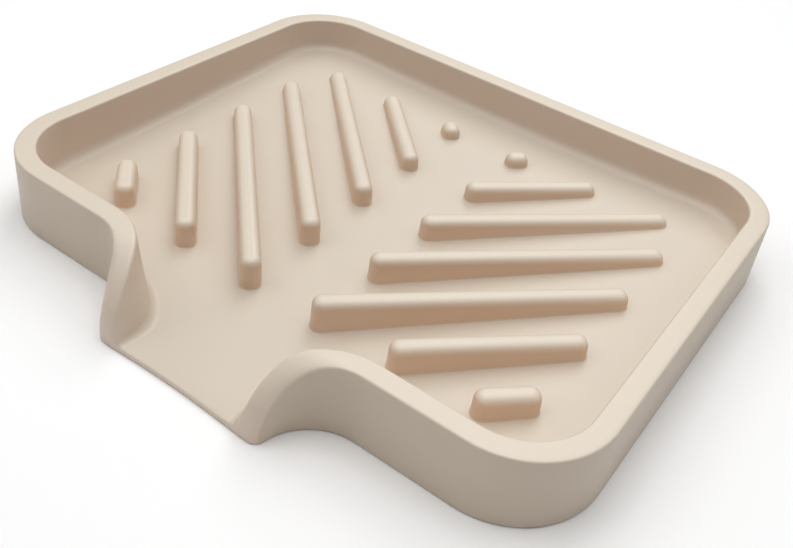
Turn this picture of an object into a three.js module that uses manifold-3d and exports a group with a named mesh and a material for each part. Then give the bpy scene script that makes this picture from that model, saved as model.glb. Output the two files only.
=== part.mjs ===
// Self-draining soap dish: a shallow moulded tray with an upright rim, a floor that falls
// to a pouring spout in the middle of the front side, and level-topped diagonal ribs.
// Millimetres, +Z up, +X along the long side, the spout points to -Y.
// The origin is on the flat underside, at the middle of the tray's rectangle.

import * as THREE from 'three';
import { mergeVertices } from 'three/addons/utils/BufferGeometryUtils.js';
import Module from 'manifold-3d';

// Tray outline and rim
const TRAY_WIDTH = 132;
const TRAY_DEPTH = 105;
const TRAY_HEIGHT = 15;
const CORNER_RADIUS = 17;
const RIM_WALL = 4.2;
const RIM_EDGE_RADIUS = 0.4;

// Floor: level at the drain and along the spout, then a shallow cone that rises away from them
const FLOOR_THICKNESS = 1;
const DRAIN_LEVEL_RADIUS = 13;
const FLOOR_SLOPE = 0.06;

// Spout: the front wall turns out through a quarter circle on each side of the lip
const SPOUT_REACH = 11.2;
const LIP_WIDTH = 37.8;
const LIP_HOLLOW = 0.5;
const CHEEK_TIP_RADIUS = 1;

// Fall of the rim along the spout: level run of the crest, and height of the steep end
const FALL_CREST = 3;
const FALL_SHOULDER = 5;

// Ribs: level-topped bars in a rectangular field on each half of the floor
const RIB_WIDTH = 4.1;
const RIB_TOP = 7.8;
const RIB_DRAFT = 0.03;
const RIB_EDGE_RADIUS = 1.7;
const RIB_CORNER_RADIUS = 1.8;
const RIB_CENTRE_GAP = 14.8;
const RIB_SIDE_MARGIN = 11.3;
const RIB_BACK_MARGIN = 11.8;
const RIB_FRONT_MARGIN = 11.5;

// One rib starts in the field's front inner corner, with others behind it and beside it.
// The backmost is a stub, the one nearest the side is short: their runs set the spacing.
const RIB_COUNT_BEHIND_CORNER = 4;
const RIB_COUNT_BESIDE_CORNER = 2;
const STUB_RIB_DEPTH = 3.7;
const END_RIB_RUN = 8.3;

// Parting gap where one piece is shaped to another
const SEAT_GAP = 0.3;

// Warm beige silicone, moulded with a matte skin
const SILICONE_COLOUR = 0xdccfc0;
const SILICONE_ROUGHNESS = 0.62;

// How finely round stretches are divided
const OUTLINE_ARC_STEPS = 12;
const FALL_STEPS = 14;
const CONE_STEPS = 72;
const RIB_CORNER_STEPS = 3;
const EDGE_STEPS = 4;
const SAME_POINT = 1e-5;

// Worked out from the sizes above
const HALF_WIDTH = TRAY_WIDTH / 2;
const HALF_DEPTH = TRAY_DEPTH / 2;
const INNER_HALF_WIDTH = HALF_WIDTH - RIM_WALL;
const INNER_HALF_DEPTH = HALF_DEPTH - RIM_WALL;
const LIP_Y = -HALF_DEPTH - SPOUT_REACH;
const SPOUT_ARC_X = LIP_WIDTH / 2 + SPOUT_REACH;
const LIP_INNER_HALF = LIP_WIDTH / 2 - RIM_WALL;
const DRAIN_Y = -INNER_HALF_DEPTH;

// How far cutting shapes run past the dish, in plan and in height
const PLAN_PAST = TRAY_WIDTH + TRAY_DEPTH;
const CUT_PAST = TRAY_HEIGHT;

const QUARTER_TURN = Math.PI / 2;

const wasm = await Module();
wasm.setup();

// Closed three.js geometry to a solid that can be joined and cut.
function toSolid(geometry) {
  geometry.deleteAttribute('normal');
  geometry.deleteAttribute('uv');
  const merged = mergeVertices(geometry, SAME_POINT);
  const index = merged.index.array;
  const triangles = [];
  for (let i = 0; i < index.length; i += 3) {
    const [a, b, c] = [index[i], index[i + 1], index[i + 2]];
    if (a !== b && b !== c && c !== a) {
      triangles.push(a, b, c);
    }
  }
  return new wasm.Manifold(new wasm.Mesh({
    numProp: 3,
    vertProperties: new Float32Array(merged.attributes.position.array),
    triVerts: new Uint32Array(triangles),
  }));
}

// Solid to a named mesh with its own silicone material.
function toMesh(name, solid) {
  const { vertProperties, triVerts } = solid.getMesh();
  const geometry = new THREE.BufferGeometry();
  geometry.setAttribute('position', new THREE.BufferAttribute(vertProperties, 3));
  geometry.setIndex(new THREE.BufferAttribute(triVerts, 1));
  geometry.computeVertexNormals();
  const silicone = new THREE.MeshStandardMaterial({
    color: SILICONE_COLOUR,
    roughness: SILICONE_ROUGHNESS,
    metalness: 0,
  });
  const mesh = new THREE.Mesh(geometry, silicone);
  mesh.name = name;
  return mesh;
}

// Box between two corners.
function blockSolid(low, high) {
  const size = high.clone().sub(low);
  const centre = low.clone().add(high).multiplyScalar(0.5);
  const box = new THREE.BoxGeometry(size.x, size.y, size.z);
  return toSolid(box.translate(centre.x, centre.y, centre.z));
}

// Plan outline carried straight up from one height to another, with sharp edges.
function prismSolid(shape, low, high) {
  const options = { depth: high - low, bevelEnabled: false, curveSegments: OUTLINE_ARC_STEPS };
  return toSolid(new THREE.ExtrudeGeometry(shape, options).translate(0, 0, low));
}

// Walls of the tray at an inset, anticlockwise from the front right corner to the front left.
function traceWalls(path, inset) {
  const radius = CORNER_RADIUS - inset;
  const cornerX = HALF_WIDTH - CORNER_RADIUS;
  const cornerY = HALF_DEPTH - CORNER_RADIUS;
  path.absarc(cornerX, -cornerY, radius, -QUARTER_TURN, 0);
  path.absarc(cornerX, cornerY, radius, 0, QUARTER_TURN);
  path.absarc(-cornerX, cornerY, radius, QUARTER_TURN, 2 * QUARTER_TURN);
  path.absarc(-cornerX, -cornerY, radius, 2 * QUARTER_TURN, 3 * QUARTER_TURN);
}

// Outer side of the dish: spout arc, walls, spout arc, with the cheeks' tips rounded off.
function traceOuterSide(path) {
  const tipX = LIP_WIDTH / 2;
  const tipTurn = Math.asin(CHEEK_TIP_RADIUS / SPOUT_REACH);
  path.moveTo(tipX - CHEEK_TIP_RADIUS, LIP_Y);
  const tipEndX = SPOUT_ARC_X - SPOUT_REACH * Math.cos(tipTurn);
  path.quadraticCurveTo(tipX, LIP_Y, tipEndX, LIP_Y + CHEEK_TIP_RADIUS);
  path.absarc(SPOUT_ARC_X, LIP_Y, SPOUT_REACH, 2 * QUARTER_TURN - tipTurn, QUARTER_TURN, true);
  traceWalls(path, 0);
  path.absarc(-SPOUT_ARC_X, LIP_Y, SPOUT_REACH, QUARTER_TURN, tipTurn, true);
  path.quadraticCurveTo(-tipX, LIP_Y, -tipX + CHEEK_TIP_RADIUS, LIP_Y);
}

// Whole footprint, with the lip's front edge drawn back a little in the middle.
function footprintShape() {
  const shape = new THREE.Shape();
  traceOuterSide(shape);
  shape.lineTo(-LIP_INNER_HALF, LIP_Y);
  shape.quadraticCurveTo(0, LIP_Y + 2 * LIP_HOLLOW, LIP_INNER_HALF, LIP_Y);
  shape.closePath();
  return shape;
}

// Plan of the rim: one long strip, open at the spout, its ends being the cheeks' tips.
function rimShape() {
  const arcRadius = SPOUT_REACH + RIM_WALL;
  const innerSide = new THREE.Path();
  innerSide.absarc(SPOUT_ARC_X, LIP_Y, arcRadius, 2 * QUARTER_TURN, QUARTER_TURN, true);
  traceWalls(innerSide, RIM_WALL);
  innerSide.absarc(-SPOUT_ARC_X, LIP_Y, arcRadius, QUARTER_TURN, 0, true);
  const shape = new THREE.Shape();
  traceOuterSide(shape);
  const back = innerSide.getPoints(OUTLINE_ARC_STEPS).reverse();
  back.forEach((point) => shape.lineTo(point.x, point.y));
  shape.closePath();
  return shape;
}

// Plan of the space inside the rim, a parting gap clear of it, running out through the spout.
function floorPanShape() {
  const arcRadius = SPOUT_REACH + RIM_WALL + SEAT_GAP;
  const shape = new THREE.Shape();
  shape.absarc(SPOUT_ARC_X, LIP_Y, arcRadius, 2 * QUARTER_TURN, QUARTER_TURN, true);
  traceWalls(shape, RIM_WALL + SEAT_GAP);
  shape.absarc(-SPOUT_ARC_X, LIP_Y, arcRadius, QUARTER_TURN, 0, true);
  shape.closePath();
  return shape;
}

// Space above the draining surface, or above a copy of it raised by a lift: two shallow
// bowls, at the drain and at the lip, and the level channel that is spanned between them.
function drainSpace(lift) {
  const rise = TRAY_HEIGHT + CUT_PAST;
  const spread = DRAIN_LEVEL_RADIUS + rise / FLOOR_SLOPE;
  const middle = FLOOR_THICKNESS + lift + rise / 2;
  const bowls = [DRAIN_Y, LIP_Y].map((y) => {
    const bowl = new THREE.CylinderGeometry(spread, DRAIN_LEVEL_RADIUS, rise, CONE_STEPS);
    return toSolid(bowl.rotateX(QUARTER_TURN).translate(0, y, middle));
  });
  return wasm.Manifold.hull(bowls);
}

// Rim strip at full height, its top edges rounded, reaching below the base.
function rimSolid() {
  const strip = new THREE.ExtrudeGeometry(rimShape(), {
    depth: TRAY_HEIGHT,
    curveSegments: OUTLINE_ARC_STEPS,
    bevelEnabled: true,
    bevelSegments: EDGE_STEPS,
    bevelSize: RIM_EDGE_RADIUS,
    bevelThickness: RIM_EDGE_RADIUS,
    bevelOffset: -RIM_EDGE_RADIUS,
  });
  return toSolid(strip.translate(0, 0, -RIM_EDGE_RADIUS));
}

// Space above the rim's fall: a side profile carried across the whole spout.
function fallCutter() {
  const profile = new THREE.Shape();
  profile.moveTo(0, TRAY_HEIGHT);
  profile.bezierCurveTo(
    FALL_CREST, TRAY_HEIGHT,
    SPOUT_REACH, FALL_SHOULDER,
    SPOUT_REACH, FLOOR_THICKNESS,
  );
  profile.lineTo(SPOUT_REACH + CUT_PAST, FLOOR_THICKNESS);
  profile.lineTo(SPOUT_REACH + CUT_PAST, TRAY_HEIGHT + CUT_PAST);
  profile.lineTo(0, TRAY_HEIGHT + CUT_PAST);
  profile.closePath();
  const across = 2 * SPOUT_ARC_X + CUT_PAST;
  const geometry = new THREE.ExtrudeGeometry(profile, {
    depth: across,
    bevelEnabled: false,
    curveSegments: FALL_STEPS,
  });
  const forward = new THREE.Vector3(0, -1, 0);
  const up = new THREE.Vector3(0, 0, 1);
  const sideways = new THREE.Vector3(-1, 0, 0);
  geometry.applyMatrix4(new THREE.Matrix4().makeBasis(forward, up, sideways));
  return toSolid(geometry.translate(across / 2, -HALF_DEPTH, 0));
}

// The block that parts the spout from the rest, along the front wall's inner face.
function spoutBlock() {
  const low = new THREE.Vector3(-SPOUT_ARC_X, LIP_Y - CUT_PAST, -CUT_PAST);
  const high = new THREE.Vector3(SPOUT_ARC_X, -INNER_HALF_DEPTH, TRAY_HEIGHT + CUT_PAST);
  return blockSolid(low, high);
}

// Space above the base, where the rim stands on the floor plate.
function aboveSeatBlock(level) {
  const low = new THREE.Vector3(-PLAN_PAST, -PLAN_PAST, level);
  const high = new THREE.Vector3(PLAN_PAST, PLAN_PAST, TRAY_HEIGHT + CUT_PAST);
  return blockSolid(low, high);
}

// Floor: a plate that runs out under the rim, and the draining cone inside it.
function makeFloor() {
  const plate = prismSolid(footprintShape(), 0, FLOOR_THICKNESS);
  const pan = prismSolid(floorPanShape(), 0, TRAY_HEIGHT).subtract(drainSpace(0));
  return toMesh('tray_floor', plate.add(pan).subtract(spoutBlock()));
}

// Rim: the upright wall that stands on the floor plate, open at the spout.
function makeRim() {
  const standing = rimSolid().intersect(aboveSeatBlock(FLOOR_THICKNESS));
  return toMesh('rim_wall', standing.subtract(spoutBlock()));
}

// Spout: tongue and both cheeks, the rim's top falling to the tips.
function makeSpout() {
  const cheeks = rimSolid().intersect(aboveSeatBlock(0)).subtract(fallCutter());
  const tongue = prismSolid(footprintShape(), 0, TRAY_HEIGHT).subtract(drainSpace(0));
  return toMesh('drain_spout', cheeks.add(tongue).intersect(spoutBlock()));
}

// Centre lines of the ribs on the right half, back to front, each clipped to the field.
function ribCentreLines() {
  const left = RIB_CENTRE_GAP / 2;
  const right = INNER_HALF_WIDTH - RIB_SIDE_MARGIN;
  const front = -INNER_HALF_DEPTH + RIB_FRONT_MARGIN;
  const back = INNER_HALF_DEPTH - RIB_BACK_MARGIN;
  const stepBack = (back - front - STUB_RIB_DEPTH) / RIB_COUNT_BEHIND_CORNER;
  const stepAside = (right - left - END_RIB_RUN) / RIB_COUNT_BESIDE_CORNER;
  const climb = stepBack / stepAside;
  const lines = [];
  for (let row = RIB_COUNT_BEHIND_CORNER; row >= -RIB_COUNT_BESIDE_CORNER; row -= 1) {
    const startX = left + Math.max(0, -row) * stepAside;
    const startY = front + Math.max(0, row) * stepBack;
    const runX = Math.min(right - startX, (back - startY) / climb);
    const start = new THREE.Vector2(startX, startY);
    const end = new THREE.Vector2(startX + runX, startY + runX * climb);
    lines.push({ start, end });
  }
  return lines;
}

// Plan of a rib lying along X: a bar with rounded corners.
function ribShape(length) {
  const x = length / 2;
  const y = RIB_WIDTH / 2;
  const r = RIB_CORNER_RADIUS;
  const shape = new THREE.Shape();
  shape.absarc(x - r, -y + r, r, -QUARTER_TURN, 0);
  shape.absarc(x - r, y - r, r, 0, QUARTER_TURN);
  shape.absarc(-x + r, y - r, r, QUARTER_TURN, 2 * QUARTER_TURN);
  shape.absarc(-x + r, -y + r, r, 2 * QUARTER_TURN, 3 * QUARTER_TURN);
  shape.closePath();
  return shape;
}

// Spreads a bar towards its foot on every side, so that it leaves its mould.
function addDraft(bar) {
  const { position } = bar.attributes;
  for (let i = 0; i < position.count; i += 1) {
    const spread = RIB_DRAFT * (RIB_TOP - position.getZ(i));
    const x = position.getX(i);
    const y = position.getY(i);
    position.setXY(i, x + Math.sign(x) * spread, y + Math.sign(y) * spread);
  }
}

// One rib: level on top with rounded edges, its foot shaped to the draining floor.
function makeRib(name, line, side, aboveFloor) {
  const run = line.end.clone().sub(line.start);
  const middle = line.start.clone().add(line.end).multiplyScalar(0.5);
  const bar = new THREE.ExtrudeGeometry(ribShape(run.length()), {
    depth: RIB_TOP,
    curveSegments: RIB_CORNER_STEPS,
    bevelEnabled: true,
    bevelSegments: EDGE_STEPS,
    bevelSize: RIB_EDGE_RADIUS,
    bevelThickness: RIB_EDGE_RADIUS,
    bevelOffset: -RIB_EDGE_RADIUS,
  });
  bar.translate(0, 0, -RIB_EDGE_RADIUS);
  addDraft(bar);
  bar.rotateZ(side * run.angle());
  bar.translate(side * middle.x, middle.y, 0);
  return toMesh(name, toSolid(bar).intersect(aboveFloor));
}

// The ribs of one half, numbered from the back to the spout.
function makeRibs(halfName, side) {
  const half = new THREE.Group();
  half.name = `${halfName}_ribs`;
  const aboveFloor = drainSpace(SEAT_GAP);
  ribCentreLines().forEach((line, index) => {
    half.add(makeRib(`${halfName}_rib_${index + 1}`, line, side, aboveFloor));
  });
  return half;
}

const soapDish = new THREE.Group();
soapDish.name = 'soap_dish';
soapDish.add(makeFloor(), makeRim(), makeSpout());
soapDish.add(makeRibs('left', -1), makeRibs('right', 1));

export default soapDish;
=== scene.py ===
"""Looks of a self-draining soap dish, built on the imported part.

The dish is one silicone moulding: a tray whose rim turns out into a pouring spout, and two
mirrored groups of diagonal ribs on a floor that falls to the spout.
Metres, +Z up, the spout points to -Y, the underside rests at Z = 0.
"""

import logging
import math
from collections.abc import Iterable
from dataclasses import dataclass, field
from enum import Enum
from typing import TypeVar

import bmesh
import bpy
from bmesh.types import BMEdge, BMesh, BMVert
from mathutils import Matrix, Quaternion, Vector

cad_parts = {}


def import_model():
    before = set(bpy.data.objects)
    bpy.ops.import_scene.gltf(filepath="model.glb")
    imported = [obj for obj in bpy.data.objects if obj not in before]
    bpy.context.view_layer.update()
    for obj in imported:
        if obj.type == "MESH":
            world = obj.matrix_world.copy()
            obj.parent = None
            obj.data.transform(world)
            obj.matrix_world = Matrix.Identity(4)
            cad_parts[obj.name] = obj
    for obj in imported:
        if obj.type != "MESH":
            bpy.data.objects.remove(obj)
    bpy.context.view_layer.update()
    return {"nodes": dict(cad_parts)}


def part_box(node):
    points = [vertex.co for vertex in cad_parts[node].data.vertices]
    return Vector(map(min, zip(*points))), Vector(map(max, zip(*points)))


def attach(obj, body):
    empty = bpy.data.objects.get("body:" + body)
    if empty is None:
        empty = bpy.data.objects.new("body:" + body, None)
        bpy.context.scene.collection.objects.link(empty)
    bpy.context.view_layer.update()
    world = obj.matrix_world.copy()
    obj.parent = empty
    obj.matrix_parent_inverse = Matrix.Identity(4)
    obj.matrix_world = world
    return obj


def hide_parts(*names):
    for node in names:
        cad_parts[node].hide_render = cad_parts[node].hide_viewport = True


LOG = logging.getLogger("soap_dish")
Part = TypeVar("Part")
MM = 0.001
QUARTER_TURN = math.pi / 2
UP = Vector((0.0, 0.0, 1.0))
SAME_PLACE = 0.01 * MM
HALVINGS = 40
BODY = "root"

# The photograph's frame, which the camera's lens and shift are worked out for
FRAME_WIDTH_PX = 793
FRAME_HEIGHT_PX = 548

# Painted colours of upright sides, standing for light and shade: painted warm light, warmest on the
# thin ribs, and painted shade outside, darker
INNER_SIDE_PAINTED_LIGHT_COLOUR = (0.708, 0.575, 0.467)
OUTER_SIDE_PAINTED_SHADE_COLOUR = (0.613, 0.511, 0.404)
RIB_SIDE_PAINTED_LIGHT_COLOUR = (0.722, 0.532, 0.385)


class Half(Enum):
    """The two mirrored halves of the rib field, by the sign of X."""

    LEFT = -1
    RIGHT = 1


class Zone(Enum):
    """Stretches of the rim's cross-section, from the foot of the outer wall in to the floor."""

    OUTER_WALL = 0
    OUTER_EDGE = 1
    BAND = 2
    INNER_EDGE = 3
    INNER_WALL = 4
    COVE = 5


@dataclass(frozen=True)
class SectionPoint:
    """One point of the rim's cross-section: a zone, and the share of the way along it."""

    zone: Zone
    share: float


def smooth_step(value: float) -> float:
    """Eases 0 to 1, flat at both ends, and holds outside them."""
    held = min(1.0, max(0.0, value))
    return held * held * (3.0 - 2.0 * held)


def section_points() -> list[SectionPoint]:
    """Divides the rim's cross-section.

    Returns:
        The points in order, from the foot of the outer wall to the toe of the cove.
    """
    steps = {
        Zone.OUTER_WALL: 4,
        Zone.OUTER_EDGE: 3,
        Zone.BAND: 5,
        Zone.INNER_EDGE: 5,
        Zone.INNER_WALL: 3,
        Zone.COVE: 7,
    }
    points = [SectionPoint(zone, i / count) for zone, count in steps.items() for i in range(count)]
    points.append(SectionPoint(Zone.COVE, 1.0))
    return points


def new_parts(made: Iterable[object], kind: type[Part]) -> list[Part]:
    """Picks the vertices, edges or faces of one kind out of an operator's result."""
    return [part for part in made if isinstance(part, kind)]


def extrude(bm: BMesh, line: list[BMEdge]) -> tuple[list[BMVert], list[BMEdge]]:
    """Extrudes a line of edges, in place.

    Args:
        bm: The mesh to build in.
        line: The edges.

    Returns:
        The new vertices, and the edges between them, which copy the line.
    """
    made = bmesh.ops.extrude_edge_only(bm, edges=line)["geom"]
    verts = new_parts(made, BMVert)
    copies = set(verts)
    return verts, [edge for edge in new_parts(made, BMEdge) if set(edge.verts) <= copies]


def finish_piece(
    bm: BMesh, name: str, nodes: list[str], finishes: list[bpy.types.Material]
) -> bpy.types.Object:
    """Closes a mesh into a shown piece that stands for CAD nodes.

    Args:
        bm: The finished mesh, in place. It is freed.
        name: Name of the new piece.
        nodes: CAD nodes that the piece stands for.
        finishes: Materials of the piece, in the order that its faces number them.

    Returns:
        The new object, at the origin.
    """
    bmesh.ops.recalc_face_normals(bm, faces=bm.faces)
    for face in bm.faces:
        face.smooth = True
    mesh = bpy.data.meshes.new(name)
    bm.to_mesh(mesh)
    bm.free()
    for finish in finishes:
        mesh.materials.append(finish)
    piece = bpy.data.objects.new(name, mesh)
    bpy.context.scene.collection.objects.link(piece)
    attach(piece, BODY)
    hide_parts(*nodes)
    LOG.info("%s: %d faces, for %s", name, len(mesh.polygons), ", ".join(nodes))
    return piece


@dataclass(frozen=True)
class MouldedSkin:
    """Skin that a blasted mould leaves on silicone: faint clouds and a fine grain.

    What stands above the floor is told from the rest, so that it can be painted lighter: a painted
    highlight on the rib tops and the rim's band.
    """

    cloud_size: float = 22.0 * MM
    cloud_detail: float = 3.0
    grain_size: float = 0.35 * MM
    grain_detail: float = 2.0
    grain_depth: float = 0.012 * MM
    grain_strength: float = 0.35
    roughness_low: float = 0.42
    roughness_high: float = 0.50
    raised_low: float = 6.6 * MM
    raised_high: float = 7.6 * MM

    def group(self) -> bpy.types.NodeTree:
        """Builds the skin for every silicone finish to share.

        Returns:
            A node group that gives the clouds' share, the share of being raised above the floor for
            the painted highlight, the roughness and the grain's normal.
        """
        tree = bpy.data.node_groups.new("moulded_skin", "ShaderNodeTree")
        tree.interface.new_socket("Clouds", in_out="OUTPUT", socket_type="NodeSocketFloat")
        tree.interface.new_socket("Raised", in_out="OUTPUT", socket_type="NodeSocketFloat")
        tree.interface.new_socket("Roughness", in_out="OUTPUT", socket_type="NodeSocketFloat")
        tree.interface.new_socket("Normal", in_out="OUTPUT", socket_type="NodeSocketVector")
        nodes, links = tree.nodes, tree.links
        given = nodes.new("NodeGroupOutput")
        clouds = self.noise(tree, self.cloud_size, self.cloud_detail)
        links.new(clouds, given.inputs["Clouds"])

        # Share of being raised above the floor, the mask of the painted highlight
        place = nodes.new("ShaderNodeTexCoord")
        parts = nodes.new("ShaderNodeSeparateXYZ")
        raised = nodes.new("ShaderNodeMapRange")
        raised.inputs["From Min"].default_value = self.raised_low
        raised.inputs["From Max"].default_value = self.raised_high
        links.new(place.outputs["Object"], parts.inputs["Vector"])
        links.new(parts.outputs["Z"], raised.inputs["Value"])
        links.new(raised.outputs["Result"], given.inputs["Raised"])

        grain = self.noise(tree, self.grain_size, self.grain_detail)
        gloss = nodes.new("ShaderNodeMapRange")
        gloss.inputs["To Min"].default_value = self.roughness_low
        gloss.inputs["To Max"].default_value = self.roughness_high
        links.new(grain, gloss.inputs["Value"])
        links.new(gloss.outputs["Result"], given.inputs["Roughness"])

        bump = nodes.new("ShaderNodeBump")
        bump.inputs["Strength"].default_value = self.grain_strength
        bump.inputs["Distance"].default_value = self.grain_depth
        links.new(grain, bump.inputs["Height"])
        links.new(bump.outputs["Normal"], given.inputs["Normal"])
        return tree

    @staticmethod
    def noise(tree: bpy.types.NodeTree, size: float, detail: float) -> bpy.types.NodeSocket:
        """Adds a noise that follows the piece.

        Args:
            tree: The node group.
            size: Size of the noise's lumps.
            detail: How many finer layers it has.

        Returns:
            The socket that gives the noise, from 0 to 1.
        """
        place = tree.nodes.new("ShaderNodeTexCoord")
        noise = tree.nodes.new("ShaderNodeTexNoise")
        noise.inputs["Scale"].default_value = 1.0 / size
        noise.inputs["Detail"].default_value = detail
        tree.links.new(place.outputs["Object"], noise.inputs["Vector"])
        return noise.outputs["Fac"]


@dataclass(frozen=True)
class SiliconeFinish:
    """Warm beige silicone, matte and a little translucent.

    Upright sides are mixed to a painted side colour: painted warm light, most of all where the
    silicone is thin, as if light came through it, and on the outer walls painted shade, darker.
    """

    name: str
    # Painted light and shade of the upright sides
    painted_side_shading_colour: tuple[float, float, float]
    colour: tuple[float, float, float] = (0.644, 0.563, 0.463)
    cloudy_colour: tuple[float, float, float] = (0.622, 0.541, 0.440)
    # Painted highlight: what stands above the floor is painted lighter
    raised_painted_highlight_colour: tuple[float, float, float] = (0.721, 0.631, 0.518)
    upright_normal: float = 0.05
    level_normal: float = 0.97
    specular_level: float = 0.80
    subsurface: float = 0.2
    subsurface_reach: float = 0.4 * MM
    subsurface_radius: tuple[float, float, float] = (1.0, 0.70, 0.50)

    def material(self, skin: bpy.types.NodeTree) -> bpy.types.Material:
        """Builds the silicone.

        Args:
            skin: The moulded skin's node group.

        Returns:
            The material, with clouded colour, raised tops painted lighter as a painted highlight,
            painted light and shade on the upright sides, uneven roughness and a fine grain.
        """
        made = bpy.data.materials.new(self.name)
        made.use_nodes = True
        nodes, links = made.node_tree.nodes, made.node_tree.links
        shader = nodes["Principled BSDF"]
        shader.inputs["Specular IOR Level"].default_value = self.specular_level
        shader.inputs["Subsurface Weight"].default_value = self.subsurface
        shader.inputs["Subsurface Scale"].default_value = self.subsurface_reach
        shader.inputs["Subsurface Radius"].default_value = self.subsurface_radius
        surface = nodes.new("ShaderNodeGroup")
        surface.node_tree = skin
        links.new(surface.outputs["Roughness"], shader.inputs["Roughness"])
        links.new(surface.outputs["Normal"], shader.inputs["Normal"])

        tint = self.mix(made.node_tree, surface.outputs["Clouds"])
        tint.inputs["A"].default_value = (*self.colour, 1.0)
        tint.inputs["B"].default_value = (*self.cloudy_colour, 1.0)
        # Painted highlight: the rib tops and the rim's band are painted lighter than the floor
        top_painted_highlight = self.mix(made.node_tree, surface.outputs["Raised"])
        links.new(tint.outputs["Result"], top_painted_highlight.inputs["A"])
        top_painted_highlight.inputs["B"].default_value = (*self.raised_painted_highlight_colour, 1.0)
        # Painted light and shade: upright sides take the painted side colour
        side_shaded = self.mix(made.node_tree, self.painted_side_shading_share(made.node_tree))
        links.new(top_painted_highlight.outputs["Result"], side_shaded.inputs["A"])
        side_shaded.inputs["B"].default_value = (*self.painted_side_shading_colour, 1.0)
        links.new(side_shaded.outputs["Result"], shader.inputs["Base Color"])
        return made

    @staticmethod
    def mix(tree: bpy.types.NodeTree, share: bpy.types.NodeSocket) -> bpy.types.Node:
        """Adds a colour mix that is driven by a share.

        Args:
            tree: The material's nodes and links.
            share: The socket that gives the share of the second colour.

        Returns:
            The mix node.
        """
        mixed = tree.nodes.new("ShaderNodeMix")
        mixed.data_type = "RGBA"
        tree.links.new(share, mixed.inputs["Factor"])
        return mixed

    def painted_side_shading_share(self, tree: bpy.types.NodeTree) -> bpy.types.NodeSocket:
        """Tells upright sides from level faces, for the painted side colour of light and shade.

        Returns:
            The socket that gives 0 on level faces and 1 on upright ones.
        """
        facing = tree.nodes.new("ShaderNodeNewGeometry")
        parts = tree.nodes.new("ShaderNodeSeparateXYZ")
        upright = tree.nodes.new("ShaderNodeMapRange")
        upright.interpolation_type = "SMOOTHSTEP"
        upright.inputs["From Min"].default_value = self.level_normal
        upright.inputs["From Max"].default_value = self.upright_normal
        tree.links.new(facing.outputs["Normal"], parts.inputs["Vector"])
        tree.links.new(parts.outputs["Z"], upright.inputs["Value"])
        return upright.outputs["Result"]


@dataclass(frozen=True)
class PaperFinish:
    """Matte white paper that the dish stands on."""

    colour: tuple[float, float, float] = (0.97, 0.97, 0.97)
    roughness: float = 0.85

    def material(self) -> bpy.types.Material:
        """Builds the paper.

        Returns:
            The material.
        """
        made = bpy.data.materials.new("white_paper")
        made.use_nodes = True
        shader = made.node_tree.nodes["Principled BSDF"]
        shader.inputs["Base Color"].default_value = (*self.colour, 1.0)
        shader.inputs["Roughness"].default_value = self.roughness
        return made


@dataclass(frozen=True)
class InnerSide:
    """Shape of the rim's inner side.

    Radius over the band's edge, how far in the wall's foot stands, and radius down at the floor.
    """

    edge: float
    slope: float
    cove: float

    def towards(self, other: "InnerSide", share: float) -> "InnerSide":
        """Shape at a share of the way from this one to another.

        Args:
            other: The other shape.
            share: 0 for this shape, 1 for the other.

        Returns:
            The shape between them.
        """
        return InnerSide(
            edge=self.edge + (other.edge - self.edge) * share,
            slope=self.slope + (other.slope - self.slope) * share,
            cove=self.cove + (other.cove - self.cove) * share,
        )


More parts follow.
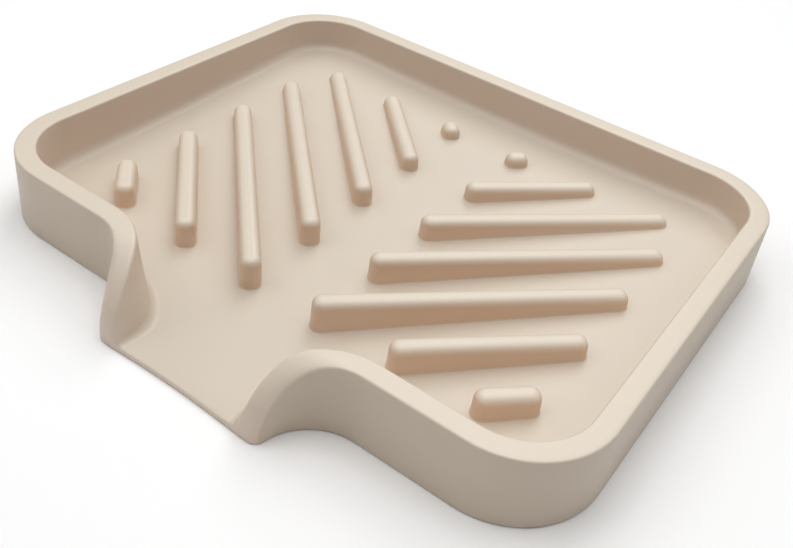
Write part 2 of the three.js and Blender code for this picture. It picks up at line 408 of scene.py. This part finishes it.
@dataclass
class Tray:
    """Floor, rim and spout of the dish, in one skin as they are moulded.

    The rim's cross-section is swept round the outline with turns and straight runs, the
    stretch along the spout is let down to the lip, and floor and underside are filled in.
    """

    half_width: float
    half_depth: float
    height: float
    lip_y: float
    arc_x: float
    corner_radius: float = 17.0 * MM

    # Cross-section of the rim
    wall: float = 4.2 * MM
    outer_edge: float = 0.4 * MM
    inner: InnerSide = InnerSide(edge=0.5 * MM, slope=0.0, cove=2.0 * MM)
    cheek_inner: InnerSide = InnerSide(edge=1.2 * MM, slope=2.8 * MM, cove=1.8 * MM)
    tip_inner: InnerSide = InnerSide(edge=0.9 * MM, slope=1.0 * MM, cove=1.4 * MM)
    foot_edge: float = 0.5 * MM

    # Spout: the cheeks lean out, and their band falls from the crest over a shoulder to the tips
    cheek_lean: float = 1.0 * MM
    tip_start: float = 2.0 / 3.0
    tip_round: float = 1.8 * MM
    fall_crest: float = 3.0 * MM
    fall_shoulder: float = 8.0 * MM
    lip_hollow: float = 0.5 * MM

    # Floor, level round the drain and rising from there
    floor_thickness: float = 1.0 * MM
    drain_radius: float = 13.0 * MM
    drain_blend: float = 4.0 * MM
    floor_slope: float = 0.06

    # Steps of the mesh, and the rings that fill floor and underside in
    corner_steps: int = 20
    crest_steps: int = 14
    fall_steps: int = 30
    front_steps: int = 5
    side_steps: int = 14
    back_steps: int = 9
    lip_steps: int = 24
    foot_steps: int = 4
    floor_middle_y: float = -40.0 * MM
    underside_middle_y: float = -8.0 * MM
    fill_shrinks: tuple[float, ...] = (0.96, 0.93, 0.9, 0.87, 0.83, 0.78, 0.7, 0.55, 0.3)
    section: list[SectionPoint] = field(default_factory=section_points)

    @property
    def reach(self) -> float:
        """How far the spout stands out past the front wall."""
        return -self.half_depth - self.lip_y

    @property
    def drain_y(self) -> float:
        """Where the floor becomes level, at the inner face of the front wall."""
        return self.wall - self.half_depth

    @property
    def lip_half(self) -> float:
        """Half the clear width of the lip, between the cheeks."""
        return self.arc_x - self.reach - self.wall

    @property
    def cheek_steps(self) -> int:
        """How many steps the cheek's quarter turn has."""
        return self.crest_steps + self.fall_steps

    def lip_line(self, x: float) -> float:
        """Y of the lip's front edge, hollowed between the cheeks."""
        off_middle = min(1.0, abs(x) / self.lip_half)
        return self.lip_y + self.lip_hollow * (1.0 - off_middle * off_middle)

    def floor_height(self, x: float, y: float) -> float:
        """Height of the draining floor, rounded off at the lip.

        Args:
            x: Place across the tray.
            y: Place along the tray.

        Returns:
            The floor's height there.
        """
        past = math.hypot(x, max(0.0, y - self.drain_y)) - self.drain_radius
        rise = self.floor_slope * (past + math.hypot(past, self.drain_blend)) / 2.0
        short = self.foot_edge - (y - self.lip_line(x))
        short = min(self.foot_edge, max(0.0, short))
        drop = self.foot_edge - math.sqrt(self.foot_edge**2 - short**2)
        return self.floor_thickness + rise - drop

    def fall_point(self, share: float) -> tuple[float, float]:
        """Point of the fall's side profile, a cubic curve between four handles.

        Args:
            share: Share of the way along it, from the crest to the tip.

        Returns:
            Forward distance from the front wall, and height.
        """
        a, b = 1.0 - share, share
        weights = (a * a * a, 3.0 * a * a * b, 3.0 * a * b * b, b * b * b)
        forward = (0.0, self.fall_crest, self.reach, self.reach)
        height = (self.height, self.height, self.fall_shoulder, self.foot_edge)
        return (
            sum(w * f for w, f in zip(weights, forward)),
            sum(w * h for w, h in zip(weights, height)),
        )

    def fall_height(self, forward_share: float) -> float:
        """Height of the rim's band at a share of the forward run of the fall.

        Args:
            forward_share: 0 at the front wall's plane, 1 at the tip.

        Returns:
            The band's height, the full height behind the front wall.
        """
        if forward_share <= 0.0:
            return self.height
        low, high = 0.0, 1.0
        for _ in range(HALVINGS):
            middle = (low + high) / 2.0
            if self.fall_point(middle)[0] < forward_share * self.reach:
                low = middle
            else:
                high = middle
        return self.fall_point(high)[1]

    def tip_line(self, inset: float) -> float:
        """Y of the front end of the cheek, rounded at its outer corner.

        Args:
            inset: Distance in from the outer wall.

        Returns:
            The Y at which the cheek ends there.
        """
        short = max(0.0, self.tip_round - inset)
        drawn_back = self.tip_round - math.sqrt(self.tip_round**2 - short**2)
        return self.lip_line(self.arc_x - self.reach - inset) + drawn_back

    def band_height(self, inset: float, y: float) -> float:
        """Height of the rim's band.

        Args:
            inset: Distance in from the outer wall.
            y: Place along the tray.

        Returns:
            The height, before its edges are rounded.
        """
        forward = -self.half_depth - y
        return self.fall_height(forward / (-self.half_depth - self.tip_line(inset)))

    def inset_of(self, point: SectionPoint, inner: InnerSide) -> float:
        """How far in from the outer wall a point of the section lies.

        Args:
            point: The point.
            inner: Shape of the inner side at that place.

        Returns:
            The distance.
        """
        turn = point.share * QUARTER_TURN
        flat = self.wall - inner.edge - self.outer_edge
        return {
            Zone.OUTER_WALL: 0.0,
            Zone.OUTER_EDGE: self.outer_edge * (1.0 - math.cos(turn)),
            Zone.BAND: self.outer_edge + flat * point.share,
            Zone.INNER_EDGE: self.wall - inner.edge * (1.0 - math.sin(turn)),
            Zone.INNER_WALL: self.wall + inner.slope * point.share,
            Zone.COVE: self.wall + inner.slope + inner.cove * (1.0 - math.cos(turn)),
        }[point.zone]

    def height_of(
        self, point: SectionPoint, inner: InnerSide, top: float, floor: float
    ) -> float:
        """Height of a point of the section.

        Args:
            point: The point.
            inner: Shape of the inner side at that place.
            top: Height of the band above the point.
            floor: Height of the floor at the point.

        Returns:
            The height. Roundings flatten where the wall is lower than they are.
        """
        turn = point.share * QUARTER_TURN
        outer = min(self.outer_edge, (top - self.foot_edge) / 2.0)
        squash = min(1.0, (top - floor) / (inner.edge + inner.slope + inner.cove))
        edge_foot = top - squash * inner.edge
        cove_head = floor + squash * inner.cove
        return {
            Zone.OUTER_WALL: self.foot_edge + point.share * (top - outer - self.foot_edge),
            Zone.OUTER_EDGE: top - outer * (1.0 - math.sin(turn)),
            Zone.BAND: top,
            Zone.INNER_EDGE: top - squash * inner.edge * (1.0 - math.cos(turn)),
            Zone.INNER_WALL: edge_foot + point.share * (cove_head - edge_foot),
            Zone.COVE: cove_head - squash * inner.cove * math.sin(turn),
        }[point.zone]

    def cheek_turns(self) -> list[float]:
        """Angles of the cheek's stations, close together where the rim falls steeply.

        Returns:
            Angles about the cheek's centre, 0 at the front wall and a quarter turn at the tip.
        """
        inner_radius = self.reach + self.wall
        crest_turn = math.acos(self.reach / inner_radius)
        turns = [crest_turn * i / self.crest_steps for i in range(self.crest_steps)]
        for i in range(self.fall_steps + 1):
            forward = self.fall_point(i / self.fall_steps)[0]
            turns.append(math.acos((self.reach - forward) / inner_radius))
        return turns

    def rounding_turns(self) -> list[tuple[float, float]]:
        """Start and end angles of the steps that round the lower edge and the lip."""
        turns = [QUARTER_TURN * i / self.foot_steps for i in range(self.foot_steps + 1)]
        return list(zip(turns, turns[1:]))

    def sweep_rim(self, bm: BMesh) -> bmesh.types.BMLayerItem:
        """Sweeps the section round the right half, from the spout's tip to the middle of the back.

        Args:
            bm: The mesh to build in.

        Returns:
            The layer that holds each vertex's number in the section.
        """
        row = bm.verts.layers.int.new("section_row")
        start = []
        for number, point in enumerate(self.section):
            x = self.arc_x - self.reach - self.inset_of(point, self.inner)
            z = self.height_of(point, self.inner, self.height, self.floor_thickness)
            start.append(bm.verts.new((x, self.lip_y, z)))
            start[-1][row] = number
        line = [bm.edges.new(pair) for pair in zip(start, start[1:])]
        corner_x = self.half_width - self.corner_radius
        corner_y = self.half_depth - self.corner_radius
        line = self.turn(bm, line, (self.arc_x, self.lip_y), -QUARTER_TURN, self.cheek_steps)
        line = self.run(bm, line, (corner_x - self.arc_x, 0.0), self.front_steps)
        line = self.turn(bm, line, (corner_x, -corner_y), QUARTER_TURN, self.corner_steps)
        line = self.run(bm, line, (0.0, 2.0 * corner_y), self.side_steps)
        line = self.turn(bm, line, (corner_x, corner_y), QUARTER_TURN, self.corner_steps)
        self.run(bm, line, (-corner_x, 0.0), self.back_steps)
        return row

    @staticmethod
    def turn(
        bm: BMesh, line: list[BMEdge], centre: tuple[float, float], angle: float, steps: int
    ) -> list[BMEdge]:
        """Sweeps the section round a centre.

        Args:
            bm: The mesh to build in.
            line: Edges of the section where the sweep has come to.
            centre: The centre, in plan.
            angle: Angle turned through.
            steps: How many steps it has.

        Returns:
            Edges of the section at the end of the turn.
        """
        swept = list(dict.fromkeys(v for e in line for v in e.verts)) + line
        made = bmesh.ops.spin(bm, geom=swept, cent=(*centre, 0.0), axis=UP, angle=angle, steps=steps)
        return new_parts(made["geom_last"], BMEdge)

    @staticmethod
    def run(bm: BMesh, line: list[BMEdge], way: tuple[float, float], steps: int) -> list[BMEdge]:
        """Sweeps the section along a straight stretch.

        Args:
            bm: The mesh to build in.
            line: Edges of the section where the sweep has come to.
            way: Length and direction of the stretch, in plan.
            steps: How many steps it has.

        Returns:
            Edges of the section at the end of the stretch.
        """
        step = Vector((*way, 0.0)) / steps
        for _ in range(steps):
            verts, line = extrude(bm, line)
            bmesh.ops.translate(bm, vec=step, verts=verts)
        return line

    def shape_rim(self, bm: BMesh, row: bmesh.types.BMLayerItem) -> None:
        """Sets the swept rim on the sloping floor and lets the cheek down to the lip.

        Args:
            bm: The mesh, with the right half of the rim.
            row: Layer of each vertex's number in the section.
        """
        turns = self.cheek_turns()
        step = QUARTER_TURN / self.cheek_steps
        for vert in bm.verts:
            point = self.section[vert[row]]
            across, along = self.arc_x - vert.co.x, vert.co.y - self.lip_y
            if across <= SAME_PLACE or vert.co.y > 0.0:
                floor = self.floor_height(vert.co.x, vert.co.y)
                vert.co.z = self.height_of(point, self.inner, self.height, floor)
                continue
            turn = turns[round(math.atan2(across, along) / step)]
            share = turn / QUARTER_TURN
            softness = smooth_step(share)
            nearness = smooth_step((share - self.tip_start) / (1.0 - self.tip_start))
            inner = self.inner.towards(self.cheek_inner, softness).towards(self.tip_inner, nearness)
            inset = self.inset_of(point, inner)
            radius = self.reach + inset
            turn *= math.acos((self.tip_line(inset) - self.lip_y) / radius) / QUARTER_TURN
            way = Vector((-math.sin(turn), math.cos(turn), 0.0))
            place = Vector((self.arc_x, self.lip_y, 0.0)) + way * radius
            top = self.band_height(inset, place.y)
            place.z = self.height_of(point, inner, top, self.floor_height(place.x, place.y))
            vert.co = place - way * (self.cheek_lean * softness * place.z / self.height)

    def add_lip(self, bm: BMesh, row: bmesh.types.BMLayerItem) -> list[BMEdge]:
        """Draws the lip's front edge from cheek to cheek.

        Args:
            bm: The mesh, with the whole rim.
            row: Layer of each vertex's number in the section.

        Returns:
            The edges of the floor's border: the cove's toe and the lip.
        """
        last = len(self.section) - 1
        toe = [e for e in bm.edges if e.is_boundary and all(v[row] == last for v in e.verts)]
        toe_verts = dict.fromkeys(v for e in toe for v in e.verts)
        ends = [v for v in toe_verts if sum(e in toe for e in v.link_edges) == 1]
        lip = bm.edges.new(ends)
        cut = bmesh.ops.subdivide_edges(bm, edges=[lip], cuts=self.lip_steps - 1)
        for vert in new_parts(cut["geom_inner"], BMVert):
            vert.co.y = self.lip_line(vert.co.x)
            vert.co.z = self.floor_height(vert.co.x, vert.co.y)
        return toe + [e for e in bm.edges if e.is_wire]

    @staticmethod
    def shrink_ring(
        bm: BMesh, ring: list[BMEdge], middle_y: float, shrink: float, flatten: float = 1.0
    ) -> list[BMEdge]:
        """Extrudes a closed ring of edges towards a place on the middle line of the tray.

        Args:
            bm: The mesh to build in.
            ring: The ring, all of which can be seen from that place.
            middle_y: Y of the place.
            shrink: Size of the new ring, as a share of the old one's.
            flatten: What the new ring's heights are multiplied by.

        Returns:
            The edges of the new ring.
        """
        verts, copy = extrude(bm, ring)
        middle = Matrix.Translation((0.0, -middle_y, 0.0))
        bmesh.ops.scale(bm, vec=(shrink, shrink, flatten), space=middle, verts=verts)
        return copy

    def close_over(self, bm: BMesh, ring: list[BMEdge], middle_y: float) -> None:
        """Fills a ring of edges with smaller and smaller copies of itself.

        Args:
            bm: The mesh to build in.
            ring: The ring.
            middle_y: Y of the place that the copies shrink to.
        """
        for shrink in self.fill_shrinks:
            ring = self.shrink_ring(bm, ring, middle_y, shrink)
        bmesh.ops.edgeloop_fill(bm, edges=ring)

    def fill_floor(self, bm: BMesh, border: list[BMEdge]) -> None:
        """Fills the floor in, with close rings where the lip is rounded.

        Args:
            bm: The mesh, with the rim and the lip's edge.
            border: The cove's toe and the lip.
        """
        known = set(bm.verts)
        ring = border
        for start, end in self.rounding_turns():
            width = self.foot_edge * (math.cos(start) - math.cos(end))
            shrink = 1.0 - width / (self.floor_middle_y - self.lip_y)
            ring = self.shrink_ring(bm, ring, self.floor_middle_y, shrink)
        self.close_over(bm, ring, self.floor_middle_y)
        for vert in bm.verts:
            if vert not in known:
                vert.co.z = self.floor_height(vert.co.x, vert.co.y)

    def fill_underside(self, bm: BMesh) -> None:
        """Rounds the lower edge all round and fills the flat underside in.

        Args:
            bm: The mesh, open only along the foot of the outer wall and the lip.
        """
        ring = [edge for edge in bm.edges if edge.is_boundary]
        for start, end in self.rounding_turns():
            width = self.foot_edge * (math.cos(start) - math.cos(end))
            flatten = (1.0 - math.sin(end)) / (1.0 - math.sin(start))
            shrink = 1.0 - width / (self.underside_middle_y - self.lip_y)
            ring = self.shrink_ring(bm, ring, self.underside_middle_y, shrink, flatten)
        self.close_over(bm, ring, self.underside_middle_y)

    def hold_in_outline(self, bm: BMesh) -> None:
        """Takes off the hair's breadth by which the turns overshoot the outline.

        Args:
            bm: The closed mesh.
        """
        for vert in bm.verts:
            vert.co.x = max(-self.half_width, min(self.half_width, vert.co.x))
            vert.co.y = min(self.half_depth, vert.co.y)

    def build(
        self, nodes: list[str], finish: bpy.types.Material, outer_painted_shade_finish: bpy.types.Material
    ) -> bpy.types.Object:
        """Builds the tray.

        Args:
            nodes: CAD nodes that it stands for.
            finish: Its material.
            outer_painted_shade_finish: Material of the outer wall and the underside, whose upright
                sides are painted darker as painted shade.

        Returns:
            The tray's piece.
        """
        bm = bmesh.new()
        row = self.sweep_rim(bm)
        self.shape_rim(bm, row)
        whole = bm.verts[:] + bm.edges[:] + bm.faces[:]
        bmesh.ops.mirror(bm, geom=whole, axis="X", merge_dist=SAME_PLACE)
        bmesh.ops.remove_doubles(bm, verts=bm.verts, dist=SAME_PLACE)
        self.fill_floor(bm, self.add_lip(bm, row))
        self.fill_underside(bm)
        self.hold_in_outline(bm)
        # The outer wall, its edge and the underside take the copy of the silicone with painted shade
        outside = (Zone.OUTER_WALL, Zone.OUTER_EDGE)
        for face in bm.faces:
            face.material_index = int(any(self.section[v[row]].zone in outside for v in face.verts))
        return finish_piece(bm, "tray", nodes, [finish, outer_painted_shade_finish])


@dataclass
class Rib:
    """One level-topped bar, with drafted sides, rounded edges and a filleted foot."""

    name: str
    half: Half
    node: bpy.types.Object
    tray: Tray
    edge: float = 1.7 * MM
    corner: float = 1.85 * MM
    draft: float = 0.03
    foot: float = 0.35 * MM
    sunk: float = 0.06 * MM
    cap_border: float = 0.05 * MM
    corner_steps: int = 6
    round_steps: int = 7
    nominal_height: float = 6.0 * MM

    def build(self, finish: bpy.types.Material) -> bpy.types.Object:
        """Builds the rib where its CAD node lies.

        Args:
            finish: Its material.

        Returns:
            The rib's piece.
        """
        along = Vector((self.half.value, 1.0, 0.0)).normalized()
        across = UP.cross(along)
        top = max(v.co.z for v in self.node.data.vertices)
        flat = [v.co for v in self.node.data.vertices if v.co.z > top - SAME_PLACE]
        runs = [p.dot(along) for p in flat]
        sides = [p.dot(across) for p in flat]
        length = max(runs) - min(runs) + 2.0 * self.edge
        width = max(sides) - min(sides) + 2.0 * self.edge
        centre = along * (max(runs) + min(runs)) / 2.0 + across * (max(sides) + min(sides)) / 2.0
        stand = top - self.edge - self.foot - self.tray.floor_height(centre.x, centre.y)
        grow = self.foot + self.draft * stand

        bm = bmesh.new()
        bmesh.ops.create_grid(bm, x_segments=1, y_segments=1, size=0.5)
        bmesh.ops.scale(bm, vec=(length + 2.0 * grow, width + 2.0 * grow, 1.0), verts=bm.verts)
        bmesh.ops.bevel(
            bm,
            geom=bm.verts[:],
            affect="VERTICES",
            offset=self.corner + grow,
            segments=self.corner_steps,
            profile=0.5,
            material=-1,
        )
        bm.faces.ensure_lookup_table()
        face = bm.faces[0]
        for inset, rise in self.profile(stand):
            bmesh.ops.inset_region(
                bm, faces=[face], thickness=inset, use_boundary=True, use_even_offset=True
            )
            bmesh.ops.translate(bm, vec=rise * UP, verts=face.verts)
        bmesh.ops.edgeloop_fill(bm, edges=[edge for edge in bm.edges if edge.is_boundary])

        place = Matrix((along, across, UP)).transposed().to_4x4()
        place.translation = centre
        bmesh.ops.transform(bm, matrix=place, verts=bm.verts)
        # The rounded top keeps level, and the foot follows the sloping floor
        half_way = self.nominal_height / 2.0
        for vert in bm.verts:
            if vert.co.z > half_way:
                vert.co.z += top - self.nominal_height
            else:
                vert.co.z += self.tray.floor_height(vert.co.x, vert.co.y) - self.sunk
        return finish_piece(bm, self.name, [self.node.name], [finish])

    def profile(self, stand: float) -> list[tuple[float, float]]:
        """Steps of the rib's side, from the floor up to its flat top.

        Args:
            stand: Height of the straight, drafted part of the side.

        Returns:
            Pairs of how far each step goes in and up.
        """
        turns = [QUARTER_TURN * i / self.round_steps for i in range(self.round_steps + 1)]
        pairs = list(zip(turns, turns[1:]))
        fillet = [
            (self.foot * (math.sin(b) - math.sin(a)), self.foot * (math.cos(a) - math.cos(b)))
            for a, b in pairs
        ]
        side = [(self.draft * stand, self.nominal_height - self.foot - self.edge)]
        crown = [
            (self.edge * (math.cos(a) - math.cos(b)), self.edge * (math.sin(b) - math.sin(a)))
            for a, b in pairs
        ]
        return fillet + side + crown + [(self.cap_border, 0.0)]


@dataclass(frozen=True)
class SoftBox:
    """A square soft light that looks at the dish."""

    name: str
    place: tuple[float, float, float]
    size: float
    power: float

    def build(self) -> None:
        """Adds the light."""
        lamp = bpy.data.lights.new(self.name, "AREA")
        lamp.size = self.size
        lamp.energy = self.power
        light = bpy.data.objects.new(self.name, lamp)
        light.location = self.place
        light.rotation_mode = "QUATERNION"
        light.rotation_quaternion = (-Vector(self.place)).to_track_quat("-Z", "Y")
        bpy.context.scene.collection.objects.link(light)


@dataclass
class Studio:
    """Pale floor, soft light and the camera at the photograph's angle."""

    floor_size: float = 6.0
    floor_drop: float = 0.05 * MM
    sky: tuple[float, float, float] = (1.0, 1.0, 1.0)
    sky_strength: float = 0.04
    focal_px: float = 954.0
    middle_px: tuple[float, float] = (406.4, 196.7)
    camera_place: tuple[float, float, float] = (0.087144, -0.141517, 0.120077)
    azimuth: float = 31.077
    elevation: float = 33.863
    roll: float = 7.871
    lights: tuple[SoftBox, ...] = (
        SoftBox("overhead_softbox", (0.0, 0.0, 0.65), 0.45, 1.82),
        SoftBox("back_softbox", (-0.128, 0.408, 0.483), 0.42, 1.58),
        SoftBox("right_softbox", (0.398, 0.230, 0.460), 0.45, 0.62),
        SoftBox("left_softbox", (-0.460, 0.0, 0.460), 0.45, 0.61),
        SoftBox("front_left_softbox", (-0.325, -0.325, 0.460), 0.45, 0.81),
        SoftBox("front_right_softbox", (0.150, -0.175, 0.260), 0.25, 0.15),
    )

    def build(self) -> None:
        """Sets up floor, light, colour handling and camera."""
        self.lay_floor()
        for light in self.lights:
            light.build()
        world = bpy.data.worlds.new("studio")
        world.use_nodes = True
        backdrop = world.node_tree.nodes["Background"]
        backdrop.inputs["Color"].default_value = (*self.sky, 1.0)
        backdrop.inputs["Strength"].default_value = self.sky_strength
        bpy.context.scene.world = world
        bpy.context.scene.view_settings.view_transform = "Standard"
        self.place_camera()

    def lay_floor(self) -> None:
        """Lays the paper that the dish stands on."""
        bm = bmesh.new()
        bmesh.ops.create_grid(bm, x_segments=1, y_segments=1, size=self.floor_size / 2.0)
        bmesh.ops.translate(bm, vec=-self.floor_drop * UP, verts=bm.verts)
        mesh = bpy.data.meshes.new("paper_floor")
        bm.to_mesh(mesh)
        bm.free()
        mesh.materials.append(PaperFinish().material())
        floor = bpy.data.objects.new("paper_floor", mesh)
        bpy.context.scene.collection.objects.link(floor)

    def place_camera(self) -> None:
        """Places the camera where the photograph was taken from."""
        lens = bpy.data.cameras.new("camera")
        lens.sensor_fit = "HORIZONTAL"
        lens.lens = self.focal_px / FRAME_WIDTH_PX * lens.sensor_width
        lens.shift_x = (FRAME_WIDTH_PX / 2.0 - self.middle_px[0]) / FRAME_WIDTH_PX
        lens.shift_y = (self.middle_px[1] - FRAME_HEIGHT_PX / 2.0) / FRAME_WIDTH_PX
        lens.clip_start = 1.0 * MM
        camera = bpy.data.objects.new("camera", lens)
        turned, raised = math.radians(self.azimuth), math.radians(self.elevation)
        level_way = Vector((-math.sin(turned), math.cos(turned), 0.0))
        ahead = level_way * math.cos(raised) - UP * math.sin(raised)
        camera.location = self.camera_place
        camera.rotation_mode = "QUATERNION"
        level = ahead.to_track_quat("-Z", "Y")
        camera.rotation_quaternion = level @ Quaternion(UP, math.radians(self.roll))
        bpy.context.scene.collection.objects.link(camera)
        bpy.context.scene.camera = camera


def main() -> None:
    """Builds the dish and its studio."""
    logging.basicConfig(level=logging.INFO, format="%(message)s")
    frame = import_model()
    skin = MouldedSkin().group()
    # Copy of the silicone with painted warm light on the inner upright sides
    silicone = SiliconeFinish("warm_beige_silicone", INNER_SIDE_PAINTED_LIGHT_COLOUR).material(skin)
    # Copy of the silicone with painted shade: outer walls painted darker
    outer_painted_shade_silicone = SiliconeFinish("warm_beige_silicone_outside", OUTER_SIDE_PAINTED_SHADE_COLOUR).material(skin)
    # Copy of the silicone with painted warm light on the rib sides, strongest, as if light came
    # through the thin silicone
    rib_painted_light_silicone = SiliconeFinish("warm_beige_silicone_thin", RIB_SIDE_PAINTED_LIGHT_COLOUR).material(skin)
    _, rim_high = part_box("rim_wall")
    spout_low, spout_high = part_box("drain_spout")
    tray = Tray(
        half_width=rim_high.x,
        half_depth=rim_high.y,
        height=rim_high.z,
        lip_y=spout_low.y,
        arc_x=spout_high.x,
    )
    tray.build(["tray_floor", "rim_wall", "drain_spout"], silicone, outer_painted_shade_silicone)
    for half in Half:
        side = half.name.lower()
        count = sum(name.startswith(f"{side}_rib_") for name in frame["nodes"])
        for number in range(1, count + 1):
            node = frame["nodes"][f"{side}_rib_{number}"]
            Rib(f"rib_{side}_{number}", half, node, tray).build(rib_painted_light_silicone)
    Studio().build()


if __name__ == "__main__":
    main()
